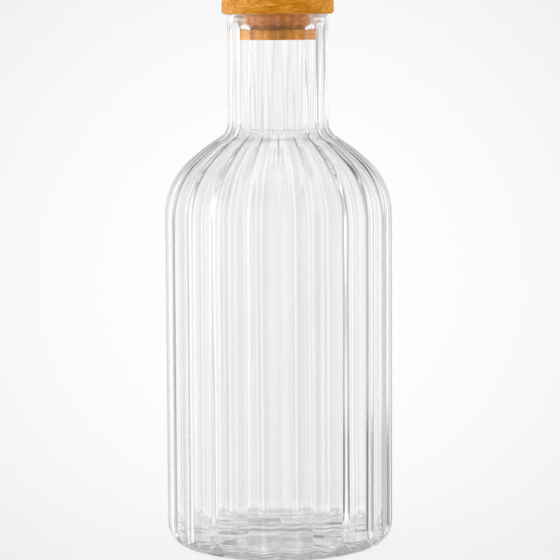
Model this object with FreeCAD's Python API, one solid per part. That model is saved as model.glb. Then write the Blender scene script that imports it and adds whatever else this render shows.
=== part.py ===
import FreeCAD, Part
import math
import os

# Ribbed one-litre glass bottle with a turned wooden stopper and a clear seal ring.
# +Z is up, the origin is at the centre of the base, all lengths are millimetres.

V = FreeCAD.Vector
UP = V(0, 0, 1)

# ---- bottle, outer form (radii are measured over the tips of the flutes) ----
body_radius = 47.5        # straight part of the body
neck_radius = 21.0        # straight part of the neck
glass_height = 222.0      # base plane to the top of the rim
base_corner = 9.9         # radius between the side and the underside
shoulder_z = 138.5        # height where the body ends and the shoulder begins
shoulder_radius = 31.0    # lower, rounder part of the shoulder
shoulder_turn = 48.0      # degrees turned by that part
crown_radius = 95.0       # upper, nearly straight part of the shoulder
neck_fillet = 7.0         # hollow curve where the shoulder turns up into the neck

# ---- flutes ----
flute_count = 22          # convex lobes round the bottle, one crease faces the front
flute_depth = 0.8         # crease below the tips, on the body
neck_flute_depth = 0.5    # crease below the tips, on the neck
rim_band = 3.0            # plain fire-polished band above the flutes
flute_fade = 4.0          # length over which the flutes run out below the band
foot_share = 0.45         # part of the flute depth left at the foot ring

# ---- walls ----
body_wall = 3.0           # measured from the flute tips
neck_wall = 2.2
floor_wall = 3.6
inner_corner = 7.0        # radius between the wall and the floor inside
rim_bead = 0.15           # swelling of the rim band
foot_ring = 3.6           # width of the flat ring the bottle stands on
punt_depth = 4.0          # rise of the hollow under the base
punt_edge = 1.5           # rounding between the ring and the hollow

# ---- stopper ----
disc_overhang = 2.25      # the disc reaches this far past the neck
disc_thickness = 6.2
disc_round = 1.3          # rounding of both rims of the disc
plug_gap = 3.7            # retaining flange to the bore of the neck
plug_flange = 4.4         # height of that flange
groove_depth = 2.05       # groove that carries the seal, below the flange
groove_height = 6.2
plug_bevel = 0.5

# ---- seal ----
seal_height = 4.3         # it is pushed up against the disc
seal_wall = 1.7
seal_lips = 2
lip_root = 1.1            # thickness of a lip where it leaves the ring
lip_tip = 0.6
seal_fit = 0.1            # ring to shank, all round
lip_clearance = 0.1       # lip to the bore of the neck

bore_radius = neck_radius - neck_wall
cavity_radius = body_radius - body_wall
rim_round = 0.4 * neck_wall
disc_radius = neck_radius + disc_overhang
plug_radius = bore_radius - plug_gap
shank_radius = plug_radius - groove_depth


def chain(r_body, r_neck, r_low, r_crown, r_fillet):
    """Turn of the upper shoulder, so that all its arcs meet tangentially."""
    c1 = math.cos(math.radians(shoulder_turn))
    r_join = r_body - r_low * (1 - c1)
    c2 = (r_neck + r_fillet - r_join + r_crown * c1) / (r_crown + r_fillet)
    return math.acos(c2)


def shoulder_arcs(r_body, r_neck, r_low, r_crown, r_fillet):
    """Three tangent arcs from body to neck: centre, radius, first and last angle."""
    t1 = math.radians(shoulder_turn)
    t2 = chain(r_body, r_neck, r_low, r_crown, r_fillet)
    low = (r_body - r_low, shoulder_z, r_low, 0.0, t1)
    cx = low[0] - (r_crown - r_low) * math.cos(t1)
    cz = low[1] - (r_crown - r_low) * math.sin(t1)
    crown = (cx, cz, r_crown, t1, t2)
    fx = cx + (r_crown + r_fillet) * math.cos(t2)
    fz = cz + (r_crown + r_fillet) * math.sin(t2)
    fillet = (fx, fz, r_fillet, math.pi + t2, math.pi)
    return low, crown, fillet


def on_arc(arc, share):
    cx, cz, r, a0, a1 = arc
    a = a0 + (a1 - a0) * share
    return cx + r * math.cos(a), cz + r * math.sin(a)


def eased(steps):
    """Shares from 0 to 1, closer together at both ends of a straight stretch."""
    return [(1 - math.cos(math.pi * k / steps)) / 2 for k in range(steps + 1)]


def stations():
    """Radius and height of every flute section, from the foot ring to the rim band."""
    out = []
    foot = (body_radius - base_corner, base_corner, base_corner, -math.pi / 2, 0.0)
    steps = 12
    for k in range(steps + 1):
        out.append(on_arc(foot, k / steps))
    for share in eased(12)[1:-1]:
        out.append((body_radius, base_corner + (shoulder_z - base_corner) * share))
    arcs = shoulder_arcs(body_radius, neck_radius, shoulder_radius, crown_radius, neck_fillet)
    for arc, steps in zip(arcs, (9, 5, 7)):
        for k in range(steps):
            out.append(on_arc(arc, k / steps))
    neck_z = arcs[2][1]
    band_z = glass_height - rim_band
    fade_z = band_z - flute_fade
    for share in eased(8)[:-1]:
        out.append((neck_radius, neck_z + (fade_z - neck_z) * share))
    steps = 4
    for k in range(steps + 1):
        out.append((neck_radius, fade_z + flute_fade * k / steps))
    return out


def depth_at(r, z):
    """Crease depth: it follows the girth, and runs out at the rim and the foot."""
    share = (r - neck_radius) / (body_radius - neck_radius)
    depth = neck_flute_depth + (flute_depth - neck_flute_depth) * share
    left = (glass_height - rim_band - z) / flute_fade
    if left < 1:
        depth = depth * max(0.0, left) ** 2 * (3 - 2 * max(0.0, left))
    if z < base_corner:
        depth = flute_depth * (foot_share + (1 - foot_share) * z / base_corner)
    return depth


def lobed_wire(r, z):
    """One closed section: flute_count arcs that meet in creases."""
    crease = r - depth_at(r, z)
    pitch = 2 * math.pi / flute_count
    edges = []
    for k in range(flute_count):
        a = -math.pi / 2 + k * pitch
        ends = [V(crease * math.cos(t), crease * math.sin(t), z) for t in (a, a + pitch)]
        mid = V(r * math.cos(a + pitch / 2), r * math.sin(a + pitch / 2), z)
        edges.append(Part.Arc(ends[0], mid, ends[1]).toShape())
    return Part.Wire(edges)


def line(a, b):
    return Part.LineSegment(V(a[0], 0, a[1]), V(b[0], 0, b[1])).toShape()


def arc3(a, m, b):
    return Part.Arc(V(a[0], 0, a[1]), V(m[0], 0, m[1]), V(b[0], 0, b[1])).toShape()


def turned(edges):
    """Solid of revolution about Z from a closed outline in the XZ plane."""
    face = Part.Face(Part.Wire(edges))
    return face.revolve(V(0, 0, 0), UP, 360)


def polygon(points):
    closed = list(points) + [points[0]]
    return [line(a, b) for a, b in zip(closed, closed[1:])]


def quarter(cx, cz, r, a0, a1):
    """Arc edge about (cx, cz) between two angles in degrees."""
    pts = []
    for a in (a0, (a0 + a1) / 2, a1):
        t = math.radians(a)
        pts.append((cx + r * math.cos(t), cz + r * math.sin(t)))
    return arc3(*pts)


def cavity():
    """The space inside the glass, with the rounded mouth."""
    floor_z = floor_wall
    centre_z = floor_wall + punt_depth
    ring_r = cavity_radius - inner_corner
    wall_z = floor_z + inner_corner
    arcs = shoulder_arcs(cavity_radius, bore_radius, shoulder_radius - body_wall,
                         crown_radius - body_wall, neck_fillet + neck_wall)
    edges = []
    rise = (ring_r * ring_r + punt_depth * punt_depth) / (2 * punt_depth)
    half = math.asin(ring_r / rise) / 2
    mid = (rise * math.sin(half), centre_z - rise * (1 - math.cos(half)))
    edges.append(arc3((0, centre_z), mid, (ring_r, floor_z)))
    edges.append(quarter(ring_r, wall_z, inner_corner, -90, 0))
    edges.append(line((cavity_radius, wall_z), (cavity_radius, shoulder_z)))
    for arc in arcs:
        edges.append(arc3(on_arc(arc, 0), on_arc(arc, 0.5), on_arc(arc, 1)))
    mouth_z = glass_height - rim_round
    edges.append(line(on_arc(arcs[2], 1), (bore_radius, mouth_z)))
    edges.append(quarter(bore_radius + rim_round, mouth_z, rim_round, 180, 90))
    edges.append(line((bore_radius + rim_round, glass_height),
                      (bore_radius + rim_round, glass_height + 1)))
    edges.append(line((bore_radius + rim_round, glass_height + 1), (0, glass_height + 1)))
    edges.append(line((0, glass_height + 1), (0, centre_z)))
    return turned(edges)


def rim():
    """Plain rounded band at the mouth, solid until the cavity is cut."""
    z0 = glass_height - rim_band
    z1 = glass_height - rim_round
    r = neck_radius
    edges = [line((0, z0), (r, z0))]
    edges.append(arc3((r, z0), (r + rim_bead, (z0 + z1) / 2), (r, z1)))
    edges.append(quarter(r - rim_round, z1, rim_round, 0, 90))
    edges.append(line((r - rim_round, glass_height), (0, glass_height)))
    edges.append(line((0, glass_height), (0, z0)))
    return turned(edges)


def punt():
    """Shallow hollow under the base, with a rounded edge."""
    r = body_radius - base_corner - foot_ring
    ball = (r * r + punt_depth * punt_depth) / (2 * punt_depth)
    centre_z = punt_depth - ball
    # the rounding is a torus that touches the ball from outside and the base plane
    edge_r = math.sqrt((ball + punt_edge) ** 2 - (punt_edge - centre_z) ** 2)
    lean = math.atan2(edge_r, punt_edge - centre_z)
    touch = (ball * math.sin(lean), centre_z + ball * math.cos(lean))
    half = lean / 2
    mid = (ball * math.sin(half), centre_z + ball * math.cos(half))
    roll = math.degrees(lean)
    edges = [arc3((0, punt_depth), mid, touch)]
    edges.append(quarter(edge_r, punt_edge, punt_edge, 270 - roll, 270))
    edges.append(line((edge_r, 0), (edge_r, -5)))
    edges.append(line((edge_r, -5), (0, -5)))
    edges.append(line((0, -5), (0, punt_depth)))
    return turned(edges)


def bottle():
    wires = [lobed_wire(r, z) for r, z in stations()]
    skin = Part.makeLoft(wires, True, False)
    outer = skin.fuse(rim())
    return outer.cut(cavity()).cut(punt())


def stopper():
    """Disc, grooved shank and retaining flange, turned from one piece of wood."""
    z_disc = glass_height
    z_top = z_disc + disc_thickness
    z_groove = z_disc - groove_height
    z_end = z_groove - plug_flange
    r, f, b = disc_radius, disc_round, plug_bevel
    edges = [line((0, z_end), (plug_radius - b, z_end))]
    edges.append(line((plug_radius - b, z_end), (plug_radius, z_end + b)))
    edges.append(line((plug_radius, z_end + b), (plug_radius, z_groove - b)))
    edges.append(line((plug_radius, z_groove - b), (plug_radius - b, z_groove)))
    edges.append(line((plug_radius - b, z_groove), (shank_radius, z_groove)))
    edges.append(line((shank_radius, z_groove), (shank_radius, z_disc)))
    edges.append(line((shank_radius, z_disc), (r - f, z_disc)))
    edges.append(quarter(r - f, z_disc + f, f, -90, 0))
    edges.append(line((r, z_disc + f), (r, z_top - f)))
    edges.append(quarter(r - f, z_top - f, f, 0, 90))
    edges.append(line((r - f, z_top), (0, z_top)))
    edges.append(line((0, z_top), (0, z_end)))
    return turned(edges)


def seal():
    """Clear ring round the shank, with thin lips that reach for the bore."""
    top = glass_height
    inner = shank_radius + seal_fit
    outer = inner + seal_wall
    reach = bore_radius - lip_clearance
    pitch = seal_height / seal_lips
    points = [(inner, top - seal_height), (outer, top - seal_height)]
    for k in range(seal_lips):
        z = top - seal_height + pitch * (k + 0.5)
        points.append((outer, z - lip_root / 2))
        points.append((reach, z - lip_tip / 2))
        points.append((reach, z + lip_tip / 2))
        points.append((outer, z + lip_root / 2))
    points += [(outer, top), (inner, top)]
    return turned(polygon(points))


def save(name, shape):
    solids = shape.Solids
    body = solids[0] if len(solids) == 1 else Part.makeCompound(solids)
    body.exportStep("parts/" + name + ".step")
    box = body.BoundBox
    print(name, "solids", len(solids), "valid", body.isValid(), "faces", len(body.Faces),
          "volume", round(body.Volume, 1), "z", round(box.ZMin, 3), round(box.ZMax, 3),
          "x", round(box.XMin, 3), round(box.XMax, 3))


os.makedirs("parts", exist_ok=True)
save("glass_bottle", bottle())
save("wooden_cap", stopper())
save("seal_ring", seal())
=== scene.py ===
import math

import bmesh
import bpy
from mathutils import Matrix, Vector, noise


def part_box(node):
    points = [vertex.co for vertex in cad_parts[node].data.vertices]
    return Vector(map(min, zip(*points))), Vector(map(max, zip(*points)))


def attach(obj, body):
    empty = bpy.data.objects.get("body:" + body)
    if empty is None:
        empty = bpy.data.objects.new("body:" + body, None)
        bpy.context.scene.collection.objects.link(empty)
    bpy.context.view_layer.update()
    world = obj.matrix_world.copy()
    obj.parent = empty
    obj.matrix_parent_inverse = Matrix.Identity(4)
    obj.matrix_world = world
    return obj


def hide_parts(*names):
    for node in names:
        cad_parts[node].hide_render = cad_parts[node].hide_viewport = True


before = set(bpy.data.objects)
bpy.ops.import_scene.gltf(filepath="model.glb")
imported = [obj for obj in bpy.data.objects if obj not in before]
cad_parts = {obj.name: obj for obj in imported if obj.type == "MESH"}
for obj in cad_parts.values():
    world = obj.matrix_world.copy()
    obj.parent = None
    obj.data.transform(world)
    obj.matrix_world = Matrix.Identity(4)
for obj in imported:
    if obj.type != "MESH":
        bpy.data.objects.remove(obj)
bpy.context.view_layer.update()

MM = 0.001
RAMP_TOP = 2.0      # a ramp holds no more than 1, so lights are divided by this while in one

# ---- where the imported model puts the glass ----
glass_low, glass_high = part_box("glass_bottle")
BASE_Z = glass_low[2]
RIM_Z = glass_high[2]

# ---- bottle: the source's sizes, in metres ----
BODY_R = 47.5 * MM
NECK_R = 21.0 * MM
CORNER = 9.9 * MM
SHOULDER_Z = 138.5 * MM
SHOULDER_R = 31.0 * MM
SHOULDER_TURN = math.radians(48.0)
CROWN_R = 95.0 * MM
NECK_FILLET = 7.0 * MM
BODY_WALL = 3.0 * MM
NECK_WALL = 2.2 * MM
FLOOR_WALL = 3.6 * MM
RIM_BAND = 3.0 * MM
RIM_BEAD = 0.15 * MM
RIM_ROUND = 0.4 * NECK_WALL
FOOT_RING = 3.6 * MM
PUNT = 4.0 * MM
PUNT_EDGE = 1.5 * MM
FLUTES = 22
FLUTE_DEPTH = 0.8 * MM
NECK_FLUTE_DEPTH = 0.5 * MM
FLUTE_FADE = 4.0 * MM
FOOT_SHARE = 0.45                   # of a crease's depth that is left at the foot
BORE_R = NECK_R - NECK_WALL

# ---- bottle: where the visible glass goes its own way ----
INNER_FILLET = 15.0 * MM            # soft inner turn into the neck
INNER_CORNER = 4.5 * MM             # tight inner turn into the floor
INNER_WAVE = 0.27 * MM              # the inner wall swells in behind each flute
NECK_WAVE = 0.1 * MM
UNEVEN = 0.06 * MM                  # of the blown wall
FLOOR_MARKS = 0.5 * MM              # unevenness of the moulded floor, both faces
EVEN_RIM = 12.0 * MM                # the bore is even from the rim to here
EVEN_FADE = 30.0 * MM               # and fully uneven this much lower
FOOT_FADE = 12                      # how fast the creases die out inside the foot
WALL_GRAIN = ((45, 45, 14), (0, 0, 0))        # noise: scale and shift along x, y, z
FINE_GRAIN = ((110, 110, 30), (7, 0, 0))
FINE_SHARE = 0.5
FLOOR_GRAIN = ((-60, 130, 0), (0, 0, 9))
PUNT_GRAIN = ((-70, 160, 0), (0, 0, 3))

# ---- bottle: how finely its outlines and its turn are cut ----
PUNT_STEPS, EDGE_STEPS, RING_STEPS, CORNER_STEPS, BODY_STEPS = 10, 5, 3, 16, 30
SHOULDER_STEPS = (16, 9, 12)
NECK_STEPS, FADE_STEPS, BAND_STEPS, ROUND_STEPS = 9, 6, 8, 7
BORE_STEPS, INNER_CORNER_STEPS, DOME_STEPS = 16, 10, 12
LOBE_STEPS = 16                     # faces round each flute
CROWDED = 0.7                       # share of them that crowd towards the creases
SPIN_WELD = 1e-7
WELD = 2e-7
TINY = 1e-6
NO_DEPTH = 1e-7                     # a crease shallower than this is none

# ---- clear things ----
LEAK_TURNS = 5.5                    # turns inside a wall after which light leaks out
LEAK_BODY, LEAK_NECK = 0.6, 0.97    # what leaking light keeps
LEAK_CHANGE = (0.135, 0.145)        # heights between which the first becomes the second
SHADE = 0.985                       # light that they let through to what lies behind
FIRST = 0.5                         # a count of turns below this is none
GLASS_IOR = 1.5
CORD_SCALE = (90, 90, 22)           # the faint upright cords in the glass
CORD_DETAIL, CORD_ROUGHNESS = 3.0, 0.55
CORD_TINT = ((0.35, (0.975, 0.978, 0.979, 1)), (0.6, (0.993, 0.995, 0.995, 1)))

# ---- painted shade: dark lines along the creases and a dark outline on the shoulder; heights run from 0 at the base to 1 at LEVEL_REACH ----
LEVEL_REACH = 0.25
CREASE_THIN, CREASE_WIDE = 0.055, 0.09        # half width of a line, in flutes
CREASE_WIDER = 1.3                  # how much wider it gets on glass that is turned away
CREASE_GAIN, CREASE_POWER = 9.0, 3.0
# painted shade on the shoulder's outline, where its glass is seen edge-on
LIMB_GAIN, LIMB_POWER = 1.5, 4.0
# near-black colour of the painted shade in the creases
PAINTED_SHADE_COLOUR = (0.005, 0.005, 0.005, 1)
# how strong the painted shade in the creases is at each height
CREASE_SHADE = (
    (0.0, 0.3), (0.1, 0.25), (0.5, 0.2), (0.545, 0.5), (0.58, 0.85), (0.62, 1.0), (0.704, 1.0),
    (0.716, 0.3), (1.0, 0.1))
CREASE_BROAD = (
    (0.0, 0.0), (0.56, 0.0), (0.62, 0.7), (0.704, 1.0), (0.72, 0.1), (1.0, 0.0))

# ---- wood ----
BROAD_GRAIN = ((55, 120, 160), 2.0, 3.1)      # noise: scale, detail and shift
FIBRES = ((130, 900, 1400), 3.0, 0.0)
PORES = ((420, 2600, 2600), 2.0, 7.7)
GRAIN_ROUGHNESS = 0.6
FIBRE_SHARE = 0.55
# painted light: the disc's wood is paler towards its left and right ends, as the side lights fall,
# and a little darker between
PAINTED_LIGHT_LEFT = (-20.0 * MM, 0.0, 0.13, -0.03)    # from, to, and the tone added at each
PAINTED_LIGHT_RIGHT = (4.0 * MM, 22.0 * MM, 0.0, 0.10)
WOOD = (
    (0.28, (0.35, 0.105, 0.001, 1)), (0.43, (0.52, 0.18, 0.002, 1)),
    (0.56, (0.66, 0.255, 0.016, 1)), (0.72, (0.92, 0.45, 0.12, 1)))
PORE_EDGE = (0.56, 0.66)
PORE_DARK = 0.55
PORE_DEEP = 0.5
PORE_INK = (0.16, 0.04, 0.004, 1)
WOOD_BUMP = (0.25, 0.2 * MM)        # strength and height
WOOD_ROUGHNESS, WOOD_GLOSS = 0.5, 0.06
PLUG_R = 18.0 * MM
PLUG_DEPTH = 12.0 * MM
# painted light and shade: lighter and darker bands down the plug, one for each flute
PLUG_STREAK, STREAK_LEAST = 0.3, -0.6         # light bands down the plug, one for each flute
# painted light and shade on the plug: brighter just under the rim, a dim groove below that, then
# about even
PLUG_PAINTED_LIGHT = (                      # share of the depth below the rim, and light over RAMP_TOP
    (0.0, 0.72), (0.33, 0.75), (0.37, 0.38), (0.50, 0.36), (0.53, 0.5), (1.0, 0.55))

# ---- silicone ----
SILICONE_IOR = 1.41
SILICONE_ROUGHNESS = 0.05
SILICONE_TINT = (1.0, 0.965, 0.84, 1)
MILK = 0.3                          # share of light that it scatters
# painted light: the scattered light is tinted the orange of the wood behind the seal
PAINTED_WOOD_TINT = (1.0, 0.74, 0.28, 1)
HAZE_SCALE, HAZE_DETAIL = 900.0, 2.0
HAZE_BUMP = (0.08, 0.1 * MM)

# ---- light of the backdrop, brightest behind the object; the floor carries it as painted light ----
BACK = 0.995
POOL_AWAY, POOL_ABOVE = 1.08, 0.225           # where its falloff is measured from
POOL_TILT = 0.105
POOL_FALL = 5.27
POOL_LEAST = 0.88
NEAR = 0.05                         # least distance ahead, where the falloff would run away
FLOOR_NEAR = 0.3
FLOOR_HALF = 30.0
FLOOR_GAP = 0.2 * MM

# ---- light on matt things ----
MATT = 0.5
MATT_LEFT, MATT_RIGHT = 1.8, 1.2
MATT_TOP = 0.25

# ---- light that glass bends and mirrors: a ring of light and dark panels round the table ----
RING_MEAN = 0.9
RING_GAIN = 1.45
RING_LEAST = 0.42
HALF_TURN = 180.0
RING = (                            # degrees from straight behind, clockwise from above, and light
    (-180, 0.67), (-168, 0.69), (-158, 0.65), (-148, 0.74), (-139, 0.87), (-131, 1.13),
    (-123, 1.15), (-116, 1.01), (-109, 0.94), (-102, 1.19), (-95, 1.32), (-88, 1.02),
    (-81, 0.64), (-74, 0.63), (-67, 0.93), (-60, 1.02), (-54, 0.91), (-48, 0.86), (-42, 1.14),
    (-36, 1.31), (-30, 0.96), (-25, 0.76), (-20, 0.92), (-16, 0.94), (-12, 0.88), (-9, 0.88),
    (-6, 0.80), (-3, 0.94), (0, 1.02), (3, 0.86), (6, 0.90), (9, 0.82), (12, 0.90), (16, 0.93),
    (20, 1.05), (25, 1.02), (30, 0.64), (36, 0.49), (42, 1.09), (48, 1.23), (54, 0.75),
    (60, 0.53), (67, 0.76), (74, 1.21), (81, 1.44), (88, 1.41), (95, 1.13), (102, 0.80),
    (109, 0.60), (116, 0.53), (123, 0.55), (131, 0.69), (139, 0.60), (148, 0.37), (158, 0.25),
    (168, 0.31), (180, 0.67))
RISE_SIDES = (                      # height of the ray, and how it dims the ring
    (-1.0, 1.13), (-0.87, 0.8), (-0.75, 0.55), (-0.55, 0.72), (-0.38, 0.78), (-0.24, 0.92),
    (-0.1, 1.0), (0.2, 1.0), (0.27, 0.9), (0.4, 0.7), (0.55, 0.6), (0.7, 0.7), (0.85, 0.75),
    (1.0, 0.8))
RISE_BEHIND = (
    (-1.0, 1.13), (-0.87, 0.6), (-0.75, 0.25), (-0.55, 0.8), (-0.38, 0.88), (-0.24, 0.74),
    (-0.2, 0.95), (-0.1, 1.0), (0.2, 1.0), (0.27, 0.85), (0.4, 0.3), (0.55, 0.8), (0.7, 0.85),
    (0.85, 0.8), (1.0, 0.8))
BEHIND = (0.55, 0.95)               # where the sides give way to straight behind
POLE = (0.7, 0.95)                  # heights over which the ring closes to its mean
FLAG_TURN = (0.13, 0.17)            # a dark flag low on the right: it starts, in half turns,
FLAG_END = (0.33, 0.37)             # ends,
FLAG_TOP = (-0.145, -0.172)         # and has its top
FLAG_FOOT = (-0.30, -0.25)          # and its foot at these heights of the ray
FLAG_DARK = 0.68

# ---- camera ----
SENSOR = 36.0
FOCAL = 65 / 14                     # focal length in sensor widths
CAMERA_NEAR = 10.0 * MM
CAMERA_AIM = (0.0004, 0, 0.1113)
CAMERA_FAR = 1.0874
CAMERA_PITCH = math.radians(6.0)
CAMERA_ROLL = math.radians(-0.30)


# ---------------------------------------------------------------- outlines
def arc(cx, cz, r, a0, a1, steps):
    """Points of an arc, both ends included, angles in radians."""
    turn = [a0 + (a1 - a0) * k / steps for k in range(steps + 1)]
    return [(cx + r * math.cos(a), cz + r * math.sin(a)) for a in turn]


def straight(a, b, steps):
    """Points between two corners, both ends left out."""
    return [(a[0] + (b[0] - a[0]) * k / steps, a[1] + (b[1] - a[1]) * k / steps)
            for k in range(1, steps)]


def shoulder(body_r, neck_r, low_r, crown_r, fillet_r):
    """Three tangent arcs from the body up to the neck."""
    low_steps, crown_steps, fillet_steps = SHOULDER_STEPS
    lean = math.cos(SHOULDER_TURN)
    join = body_r - low_r * (1 - lean)
    turn = math.acos((neck_r + fillet_r - join + crown_r * lean) / (crown_r + fillet_r))
    cx, cz = body_r - low_r, SHOULDER_Z
    low = arc(cx, cz, low_r, 0.0, SHOULDER_TURN, low_steps)
    cx -= (crown_r - low_r) * math.cos(SHOULDER_TURN)
    cz -= (crown_r - low_r) * math.sin(SHOULDER_TURN)
    crown = arc(cx, cz, crown_r, SHOULDER_TURN, turn, crown_steps)
    cx += (crown_r + fillet_r) * math.cos(turn)
    cz += (crown_r + fillet_r) * math.sin(turn)
    fillet = arc(cx, cz, fillet_r, math.pi + turn, math.pi, fillet_steps)
    return low + crown[1:] + fillet[1:]


def outer_outline():
    """From the middle of the hollow base, round the foot and up to the rim's crown."""
    ring_r = BODY_R - CORNER
    punt_r = ring_r - FOOT_RING
    ball = (punt_r ** 2 + PUNT ** 2) / (2 * PUNT)
    ball_z = PUNT - ball
    edge_r = math.sqrt((ball + PUNT_EDGE) ** 2 - (PUNT_EDGE - ball_z) ** 2)
    lean = math.atan2(edge_r, PUNT_EDGE - ball_z)
    points = arc(0.0, ball_z, ball, math.pi / 2, math.pi / 2 - lean, PUNT_STEPS)
    points[0] = (0.0, PUNT)
    roll = 1.5 * math.pi - lean
    points += arc(edge_r, PUNT_EDGE, PUNT_EDGE, roll, 1.5 * math.pi, EDGE_STEPS)[1:]
    points += straight(points[-1], (ring_r, 0.0), RING_STEPS)
    points += arc(ring_r, CORNER, CORNER, -math.pi / 2, 0.0, CORNER_STEPS)
    points += straight(points[-1], (BODY_R, SHOULDER_Z), BODY_STEPS)
    points += shoulder(BODY_R, NECK_R, SHOULDER_R, CROWN_R, NECK_FILLET)
    band = RIM_Z - RIM_BAND
    points += straight(points[-1], (NECK_R, band - FLUTE_FADE), NECK_STEPS)
    points += [(NECK_R, band - FLUTE_FADE)]
    points += straight(points[-1], (NECK_R, band), FADE_STEPS)
    top = RIM_Z - RIM_ROUND
    for k in range(BAND_STEPS + 1):
        share = k / BAND_STEPS
        bulge = RIM_BEAD * math.sin(math.pi * share)
        points.append((NECK_R + bulge, band + (top - band) * share))
    points += arc(NECK_R - RIM_ROUND, top, RIM_ROUND, 0.0, math.pi / 2, ROUND_STEPS)[1:]
    return points


def inner_outline():
    """From the rim's crown down the bore and to the middle of the floor."""
    top = RIM_Z - RIM_ROUND
    cavity_r = BODY_R - BODY_WALL
    points = [(NECK_R - RIM_ROUND, RIM_Z)]
    points += arc(BORE_R + RIM_ROUND, top, RIM_ROUND, math.pi / 2, math.pi, ROUND_STEPS)
    rise = shoulder(cavity_r, BORE_R, SHOULDER_R - BODY_WALL, CROWN_R - BODY_WALL, INNER_FILLET)
    rise.reverse()
    points += straight(points[-1], rise[0], BORE_STEPS)
    points += rise
    wall = FLOOR_WALL + INNER_CORNER
    points += straight(points[-1], (cavity_r, wall), BODY_STEPS)
    ring_r = cavity_r - INNER_CORNER
    points += arc(ring_r, wall, INNER_CORNER, 0.0, -math.pi / 2, INNER_CORNER_STEPS)
    ball = (ring_r ** 2 + PUNT ** 2) / (2 * PUNT)
    centre = FLOOR_WALL + PUNT
    half = math.asin(ring_r / ball)
    dome = arc(0.0, centre - ball, ball, math.pi / 2 - half, math.pi / 2, DOME_STEPS)[1:]
    dome[-1] = (0.0, centre)
    return points + dome


# ---------------------------------------------------------------- mesh helpers
def spun(points, steps, shape):
    """Spins an outline about Z, then moves each vertex where shape puts it."""
    bm = bmesh.new()
    start = -math.pi / 2
    verts = [bm.verts.new((r * math.cos(start), r * math.sin(start), z)) for r, z in points]
    edges = [bm.edges.new(pair) for pair in zip(verts, verts[1:])]
    bmesh.ops.spin(bm, geom=verts + edges, cent=(0, 0, 0), axis=(0, 0, 1), dvec=(0, 0, 0),
                   angle=2 * math.pi, steps=steps, use_merge=True, use_normal_flip=False,
                   use_duplicate=False)
    bmesh.ops.remove_doubles(bm, verts=bm.verts, dist=SPIN_WELD)
    for v in bm.verts:
        v.co = shape(v.co)
    return bm


def finished(bm, name, smooth=True):
    """Closes the mesh, turns its faces outwards and makes the object."""
    bmesh.ops.remove_doubles(bm, verts=bm.verts, dist=WELD)
    bmesh.ops.recalc_face_normals(bm, faces=bm.faces)
    for f in bm.faces:
        f.smooth = smooth
    mesh = bpy.data.meshes.new(name)
    bm.to_mesh(mesh)
    bm.free()
    obj = bpy.data.objects.new(name, mesh)
    bpy.context.scene.collection.objects.link(obj)
    return obj


# ---------------------------------------------------------------- flutes
def flute_depth(r, z):
    """How far a crease lies below the tips at this girth and height."""
    share = (r - NECK_R) / (BODY_R - NECK_R)
    depth = NECK_FLUTE_DEPTH + (FLUTE_DEPTH - NECK_FLUTE_DEPTH) * share
    left = (RIM_Z - RIM_BAND - z) / FLUTE_FADE
    if left < 1:
        left = max(0.0, left)
        depth *= left * left * (3 - 2 * left)
    if z < CORNER:
        foot = FLUTE_DEPTH * (FOOT_SHARE + (1 - FOOT_SHARE) * max(0.0, z) / CORNER)
        inward = r / (BODY_R - CORNER)
        depth = foot * (1.0 if inward >= 1 else max(0.0, 1 - (1 - inward) * FOOT_FADE))
    return depth


def lobe_radius(r, depth, off, pitch):
    """Radius of the flute's arc at an angle off its middle."""
    if depth < NO_DEPTH:
        return r
    crease = r - depth
    half = crease * math.sin(pitch / 2)
    sag = r - crease * math.cos(pitch / 2)
    bow = (half * half + sag * sag) / (2 * sag)
    centre = r - bow
    side = centre * math.sin(off)
    return centre * math.cos(off) + math.sqrt(max(0.0, bow * bow - side ** 2))


def gathered(co):
    """Girth, angle and angle off the flute's middle, with more steps near a crease."""
    pitch = 2 * math.pi / FLUTES
    cell = (math.atan2(co.y, co.x) + math.pi / 2) / pitch
    lobe = math.floor(cell + TINY)
    u = min(1.0, max(0.0, cell - lobe))
    u = (1 - CROWDED) * u + CROWDED * (1 - math.cos(math.pi * u)) / 2
    return math.hypot(co.x, co.y), (lobe + u) * pitch - math.pi / 2, (u - 0.5) * pitch


def unevenness(x, y, z, grain):
    """Soft noise at a place."""
    scale, shift = grain
    return noise.noise(Vector([a * s + b for a, s, b in zip((x, y, z), scale, shift)]))


def ease(value):
    """Keeps a share between nothing and all."""
    return min(1.0, max(0.0, value))


def fluted(co):
    """Moves a vertex of the plain outer shell onto the flutes, and marks the hollow base."""
    r, turn, off = gathered(co)
    if r < TINY:
        return co
    rho = lobe_radius(r, flute_depth(r, co.z), off, 2 * math.pi / FLUTES)
    x, y = rho * math.cos(turn), rho * math.sin(turn)
    lift = 0.0
    if co.z < CORNER:
        inside = ease((BODY_R - CORNER - FOOT_RING - r) / FOOT_RING)
        lift = inside * FLOOR_MARKS * unevenness(x, y, 0.0, PUNT_GRAIN)
    return Vector((x, y, co.z + lift))


def rippled(co):
    """The blown inner wall: a soft wave behind the flutes and slight unevenness."""
    r, turn, off = gathered(co)
    if r < TINY:
        return co
    x, y, z = r * math.cos(turn), r * math.sin(turn), co.z
    calm = ease((RIM_Z - EVEN_RIM - z) / EVEN_FADE)
    grain = unevenness(x, y, z, WALL_GRAIN) + FINE_SHARE * unevenness(x, y, z, FINE_GRAIN)
    share = (r - BORE_R) / (BODY_R - BODY_WALL - BORE_R)
    swell = NECK_WAVE * min(1.0, r / BORE_R) + (INNER_WAVE - NECK_WAVE) * max(0.0, share)
    wave = -swell * math.cos(off * FLUTES)
    rho = r + calm * (wave + grain * UNEVEN)
    lift = 0.0
    if z < FLOOR_WALL + INNER_CORNER:
        inside = ease((BODY_R - BODY_WALL - r) / INNER_CORNER)
        lift = inside * FLOOR_MARKS * unevenness(x, y, 0.0, FLOOR_GRAIN)
    return Vector((x * rho / r, y * rho / r, z + lift))


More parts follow.
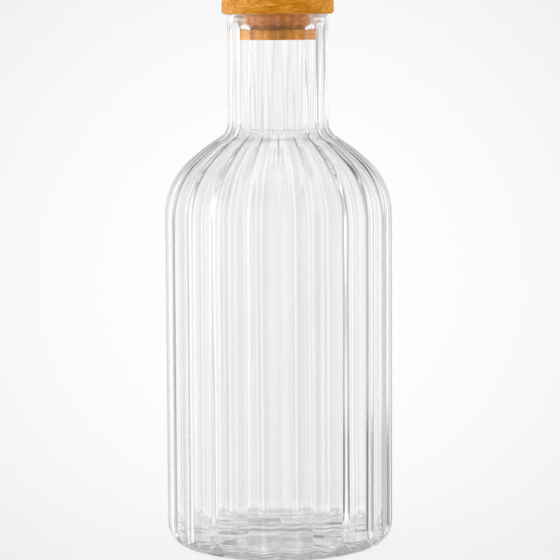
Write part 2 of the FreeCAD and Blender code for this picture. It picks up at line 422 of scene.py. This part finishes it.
def ribbed_glass():
    """The bottle's outer and inner shells, joined at the rim's crown."""
    steps = FLUTES * LOBE_STEPS
    bm = spun(outer_outline(), steps, fluted)
    inner = spun(inner_outline(), steps, rippled)
    part = bpy.data.meshes.new("inner_part")
    inner.to_mesh(part)
    inner.free()
    bm.from_mesh(part)
    bpy.data.meshes.remove(part)
    return finished(bm, "ribbed_glass")


# ---------------------------------------------------------------- node helper
class Nodes:
    """A short way to write a node tree."""

    def __init__(self, owner):
        owner.use_nodes = True
        self.tree = owner.node_tree
        self.tree.nodes.clear()

    def add(self, kind, inputs=None, **settings):
        node = self.tree.nodes.new(kind)
        for key, value in settings.items():
            setattr(node, key, value)
        for key, value in (inputs or {}).items():
            if isinstance(value, bpy.types.NodeSocket):
                self.tree.links.new(value, node.inputs[key])
            else:
                node.inputs[key].default_value = value
        return node

    def math(self, operation, a, b=0.0, c=0.0, clamp=False):
        return self.add("ShaderNodeMath", {0: a, 1: b, 2: c}, operation=operation,
                        use_clamp=clamp).outputs[0]

    def times(self, first, *others):
        """All the values multiplied, one after another."""
        for other in others:
            first = self.math("MULTIPLY", first, other)
        return first

    def mix(self, factor, a, b):
        return self.add("ShaderNodeMix", {0: factor, 2: a, 3: b}, data_type="FLOAT").outputs[0]

    def ramp(self, value, low, high, at_low, at_high):
        """at_low below low, at_high above high, and a smooth change between."""
        return self.add("ShaderNodeMapRange", {"Value": value, "From Min": low, "From Max": high,
                                               "To Min": at_low, "To Max": at_high},
                        interpolation_type="SMOOTHSTEP").outputs[0]

    def colours(self, value, stops):
        """A colour ramp through the given places."""
        node = self.add("ShaderNodeValToRGB", {"Fac": value})
        points = node.color_ramp.elements
        for place, _ in stops[1:-1]:
            points.new(place)
        for point, (place, colour) in zip(points, stops):
            point.position = place
            point.color = colour
        return node.outputs["Color"]

    def steps(self, value, stops):
        """A grey ramp through the given places."""
        return self.colours(value, [(place, (v, v, v, 1)) for place, v in sorted(stops)])

    def mix_colour(self, factor, a, b, blend="MIX"):
        return self.add("ShaderNodeMix", {0: factor, 6: a, 7: b}, data_type="RGBA",
                        blend_type=blend).outputs[2]

    def grey(self, value):
        return self.add("ShaderNodeCombineColor", {0: value, 1: value, 2: value}).outputs[0]

    def apart(self, vector):
        return self.add("ShaderNodeSeparateXYZ", {"Vector": vector}).outputs

    def around(self, x, y):
        """Angle about Z, from the front."""
        return self.math("ARCTAN2", x, self.math("MULTIPLY", y, -1.0))

    def object_place(self):
        return self.add("ShaderNodeTexCoord").outputs["Object"]

    def light_path(self):
        return self.add("ShaderNodeLightPath").outputs

    def bent_ray(self, path):
        """1 for a ray that glass or a glossy surface has sent on."""
        return self.math("MAXIMUM", path["Is Glossy Ray"], path["Is Transmission Ray"])

    def bump(self, height, strength, distance):
        return self.add("ShaderNodeBump", {"Height": height, "Strength": strength,
                                           "Distance": distance}).outputs[0]

    def blend(self, factor, one, other):
        return self.add("ShaderNodeMixShader", {
            0: factor, 1: one.outputs[0], 2: other.outputs[0]})

    def finish(self, shader):
        self.add("ShaderNodeOutputMaterial", {"Surface": shader.outputs[0]})


def material(name):
    mat = bpy.data.materials.new(name)
    return mat, Nodes(mat)


# ---------------------------------------------------------------- materials
def softened(n, shader, place):
    """Lets light caught in a clear wall leak out, and keeps the shadow of clear things light."""
    path = n.light_path()
    height = n.apart(place)["Z"]
    keep = n.mix(n.ramp(height, *LEAK_CHANGE, 0.0, 1.0), LEAK_BODY, LEAK_NECK)
    keep = n.mix(n.math("LESS_THAN", path["Transparent Depth"], FIRST), 1.0, keep)
    caught = n.math("GREATER_THAN", path["Ray Depth"], LEAK_TURNS)
    leak = n.add("ShaderNodeBsdfTransparent", {"Color": n.grey(keep)})
    mixed = n.blend(caught, shader, leak)
    soft = n.math("MAXIMUM", path["Is Shadow Ray"], path["Is Diffuse Ray"])
    clear = n.add("ShaderNodeBsdfTransparent", {"Color": (SHADE, SHADE, SHADE, 1)})
    n.finish(n.blend(soft, mixed, clear))


def crease_shade(n, place):
    """Painted shade: a dark line down each crease, strongest round the shoulder and on turned-away
    glass, and a dark outline where the shoulder is seen edge-on.
    """
    x, y, z = n.apart(place)
    cell = n.math("MULTIPLY", n.around(x, y), FLUTES / (2 * math.pi))
    crease = n.math("ABSOLUTE", n.math("SUBTRACT", cell, n.math("ROUND", cell)))
    level = n.math("MULTIPLY", z, 1 / LEVEL_REACH)
    broad = n.steps(level, CREASE_BROAD)
    facing = n.add("ShaderNodeLayerWeight", {"Blend": 0.5}).outputs["Facing"]
    turned = n.math("POWER", facing, CREASE_POWER)
    width = n.times(n.math("MULTIPLY_ADD", turned, CREASE_WIDER, 1.0),
                    n.mix(broad, CREASE_THIN, CREASE_WIDE))
    line = n.math("SUBTRACT", 1.0, n.math("DIVIDE", crease, width), clamp=True)
    strength = n.times(n.steps(level, CREASE_SHADE),
                       n.math("MULTIPLY", turned, CREASE_GAIN, clamp=True))
    # painted shade along the shoulder's outline, where the glass is seen edge-on
    limb = n.math("MULTIPLY", n.math("POWER", facing, LIMB_POWER), LIMB_GAIN, clamp=True)
    shade = n.math("MAXIMUM", n.times(n.math("SQRT", line), strength), n.times(limb, broad))
    first_hit = n.math("LESS_THAN", n.light_path()["Ray Depth"], FIRST)
    return n.times(shade, first_hit)


def clear_glass():
    """Clear soda glass with the faintest cords in its colour, and painted shade along its creases.
    """
    mat, n = material("clear_glass")
    place = n.object_place()
    stretch = n.add("ShaderNodeMapping", {"Vector": place, "Scale": CORD_SCALE})
    cords = n.add("ShaderNodeTexNoise", {"Vector": stretch.outputs[0], "Scale": 1.0,
                                         "Detail": CORD_DETAIL,
                                         "Roughness": CORD_ROUGHNESS}).outputs["Fac"]
    # the painted shade of the creases is mixed into the glass's colour
    colour = n.mix_colour(crease_shade(n, place), n.colours(cords, CORD_TINT), PAINTED_SHADE_COLOUR)
    shader = n.add("ShaderNodeBsdfPrincipled", {
        "Base Color": colour, "Roughness": 0.0, "IOR": GLASS_IOR, "Transmission Weight": 1.0})
    softened(n, shader, place)
    return mat


def plug_painted_light(n, x, y, z):
    """Painted light and shade on the plug in the neck: lighter and darker bands down it, a
    brighter band under the rim, a dim groove, and 1 elsewhere.
    """
    girth = n.math("SQRT", n.math("ADD", n.times(x, x), n.times(y, y)))
    plug = n.times(n.math("LESS_THAN", girth, PLUG_R), n.math("LESS_THAN", z, RIM_Z))
    wave = n.math("COSINE", n.math("MULTIPLY", n.around(x, y), float(FLUTES)))
    gain = n.math("MULTIPLY_ADD", n.math("MAXIMUM", wave, STREAK_LEAST), PLUG_STREAK, 1.0)
    depth = n.math("DIVIDE", n.math("SUBTRACT", RIM_Z, z), PLUG_DEPTH)
    gain = n.times(gain, n.times(n.steps(depth, PLUG_PAINTED_LIGHT), RAMP_TOP))
    return n.mix(plug, 1.0, gain)


def bamboo():
    """Oiled light wood: long fibres across the disc and short dark pores; painted light makes the
    disc paler towards its left and right ends, and painted light and shade mark the plug in the
    neck.
    """
    mat, n = material("bamboo")
    place = n.object_place()

    def grain(scale, detail, shift):
        moved = n.add("ShaderNodeMapping", {"Vector": place, "Location": (shift, shift, shift),
                                            "Scale": scale})
        return n.add("ShaderNodeTexNoise", {
            "Vector": moved.outputs[0], "Scale": 1.0, "Detail": detail,
            "Roughness": GRAIN_ROUGHNESS}).outputs["Fac"]

    x, y, z = n.apart(place)
    tone = n.math("ADD", n.times(grain(*FIBRES), FIBRE_SHARE),
                  n.times(grain(*BROAD_GRAIN), 1 - FIBRE_SHARE))
    # painted light: paler towards the disc's left and right ends, a little darker between
    tone = n.math("ADD", tone, n.ramp(x, *PAINTED_LIGHT_LEFT))
    tone = n.math("ADD", tone, n.ramp(x, *PAINTED_LIGHT_RIGHT))
    pore = n.ramp(grain(*PORES), *PORE_EDGE, 0.0, PORE_DARK)
    colour = n.mix_colour(pore, n.colours(tone, WOOD), PORE_INK)
    # painted light and shade of the plug, multiplied into the wood's colour
    colour = n.mix_colour(1.0, colour, n.grey(plug_painted_light(n, x, y, z)), "MULTIPLY")
    relief = n.math("SUBTRACT", tone, n.times(pore, PORE_DEEP))
    n.finish(n.add("ShaderNodeBsdfPrincipled", {
        "Base Color": colour, "Roughness": WOOD_ROUGHNESS, "Specular IOR Level": WOOD_GLOSS,
        "Normal": n.bump(relief, *WOOD_BUMP)}))
    return mat


def silicone():
    """Clear, slightly milky silicone; the light it scatters is painted the colour of the wood
    behind it.
    """
    mat, n = material("silicone")
    place = n.object_place()
    haze = n.add("ShaderNodeTexNoise", {
        "Vector": place, "Scale": HAZE_SCALE, "Detail": HAZE_DETAIL}).outputs["Fac"]
    clear = n.add("ShaderNodeBsdfPrincipled", {
        "Base Color": SILICONE_TINT, "Roughness": SILICONE_ROUGHNESS, "IOR": SILICONE_IOR,
        "Transmission Weight": 1.0, "Normal": n.bump(haze, *HAZE_BUMP)})
    # painted light: the scattered part carries a fixed wood-orange tint
    milk = n.add("ShaderNodeBsdfTranslucent", {"Color": PAINTED_WOOD_TINT})
    softened(n, n.blend(MILK, clear, milk), place)
    return mat


# ---------------------------------------------------------------- room
def pool(n, across, down):
    """Light of the backdrop, weaker away from its middle; the floor takes it as painted light in
    its colour.
    """
    down = n.math("SUBTRACT", down, POOL_TILT)
    far = n.math("ADD", n.times(across, across), n.times(down, down))
    fall = n.math("MULTIPLY_ADD", far, -POOL_FALL, 1.0)
    return n.times(n.math("MAXIMUM", fall, POOL_LEAST), BACK)


def panel_ring(n, x, y):
    """Half turns from straight behind, and the ring's light there, in two ramps of few stops."""
    turn = n.math("DIVIDE", n.math("ABSOLUTE", n.math("ARCTAN2", x, y)), math.pi)
    ring = [(a, max(RING_LEAST, RING_MEAN + (v - RING_MEAN) * RING_GAIN)) for a, v in RING]
    right, left = [
        n.steps(turn, [(abs(a) / HALF_TURN, v / RAMP_TOP) for a, v in ring if a * side >= 0])
        for side in (1, -1)]
    return turn, n.times(n.mix(n.math("GREATER_THAN", x, 0.0), left, right), RAMP_TOP)


def rising(n, y, z):
    """How the ring dims with height, at the sides and straight behind."""
    height = n.math("MULTIPLY_ADD", z, 0.5, 0.5)
    side, behind = [n.steps(height, [((h + 1) / 2, v / RAMP_TOP) for h, v in part])
                    for part in (RISE_SIDES, RISE_BEHIND)]
    level = n.math("SQRT", n.math("MAXIMUM", n.math("SUBTRACT", 1.0, n.times(z, z)), TINY))
    ahead = n.ramp(n.math("DIVIDE", y, level), *BEHIND, 0.0, 1.0)
    return n.times(n.mix(ahead, side, behind), RAMP_TOP)


def flag(n, turn, x, z):
    """1 where the dark flag low on the right stands, 0 elsewhere."""
    dark = n.times(n.ramp(turn, *FLAG_TURN, 0.0, 1.0), n.ramp(z, *FLAG_TOP, 0.0, 1.0),
                   n.ramp(z, *FLAG_FOOT, 0.0, 1.0), n.ramp(turn, *FLAG_END, 1.0, 0.0))
    return n.times(dark, n.math("GREATER_THAN", x, 0.0))


def room():
    """The studio: one light for matt things, panels for glass, and the backdrop in view."""
    world = bpy.data.worlds.new("studio")
    bpy.context.scene.world = world
    n = Nodes(world)
    x, y, z = n.apart(n.add("ShaderNodeTexCoord").outputs["Generated"])
    turn, panels = panel_ring(n, x, y)
    pole = n.ramp(n.math("ABSOLUTE", z), *POLE, 0.0, 1.0)
    panels = n.times(n.mix(pole, panels, RING_MEAN), rising(n, y, z))
    panels = n.times(panels, n.math("MULTIPLY_ADD", flag(n, turn, x, z), -FLAG_DARK, 1.0))
    above = n.math("MAXIMUM", z, 0.0)
    sides = n.mix(n.math("GREATER_THAN", x, 0.0), MATT_LEFT, MATT_RIGHT)
    matt = n.math("ADD", MATT, n.times(x, x, sides))
    matt = n.math("ADD", matt, n.times(above, above, MATT_TOP))
    ahead = n.math("MAXIMUM", y, NEAR)
    back = pool(n, n.math("DIVIDE", x, ahead), n.math("DIVIDE", z, n.times(ahead, -1.0)))
    path = n.light_path()
    value = n.mix(path["Is Camera Ray"], n.mix(n.bent_ray(path), matt, panels), back)
    light = n.add("ShaderNodeBackground", {"Color": (1, 1, 1, 1), "Strength": value})
    n.add("ShaderNodeOutputWorld", {"Surface": light.outputs[0]})


def floor():
    """A pale floor whose colour is painted with the backdrop's falloff of light, a painted pool of
    light, which bent rays pass through.
    """
    bm = bmesh.new()
    bmesh.ops.create_grid(bm, x_segments=1, y_segments=1, size=FLOOR_HALF,
                          matrix=Matrix.Translation((0, 0, BASE_Z - FLOOR_GAP)))
    obj = finished(bm, "floor", smooth=False)
    mat, n = material("floor")
    x, y, _ = n.apart(n.object_place())
    reach = n.math("MAXIMUM", n.math("ADD", y, POOL_AWAY), FLOOR_NEAR)
    # painted light: the floor's colour is lighter in the middle of the pool and darker away from
    # it
    tone = pool(n, n.math("DIVIDE", x, reach), n.math("DIVIDE", POOL_ABOVE, reach))
    matt = n.add("ShaderNodeBsdfDiffuse", {"Color": n.grey(tone)})
    gone = n.add("ShaderNodeBsdfTransparent")
    n.finish(n.blend(n.bent_ray(n.light_path()), matt, gone))
    obj.data.materials.append(mat)


def camera():
    data = bpy.data.cameras.new("camera")
    data.sensor_width = SENSOR
    data.lens = FOCAL * SENSOR
    data.clip_start = CAMERA_NEAR
    obj = bpy.data.objects.new("camera", data)
    bpy.context.scene.collection.objects.link(obj)
    aim = Vector(CAMERA_AIM)
    spot = aim + Vector((0, -CAMERA_FAR * math.cos(CAMERA_PITCH),
                         CAMERA_FAR * math.sin(CAMERA_PITCH)))
    turn = (aim - spot).to_track_quat("-Z", "Y").to_matrix().to_4x4()
    obj.matrix_world = Matrix.Translation(spot) @ turn @ Matrix.Rotation(CAMERA_ROLL, 4, "Z")
    bpy.context.scene.camera = obj


# ---------------------------------------------------------------- the whole
def dress(node, finish):
    """Gives a carried-over piece its material."""
    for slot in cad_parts[node].material_slots:
        slot.material = finish


room()
floor()
camera()

bottle = ribbed_glass()
bottle.data.materials.append(clear_glass())
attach(bottle, "root")
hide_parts("glass_bottle")

dress("wooden_cap", bamboo())
dress("seal_ring", silicone())

bpy.context.scene.view_settings.view_transform = "Standard"
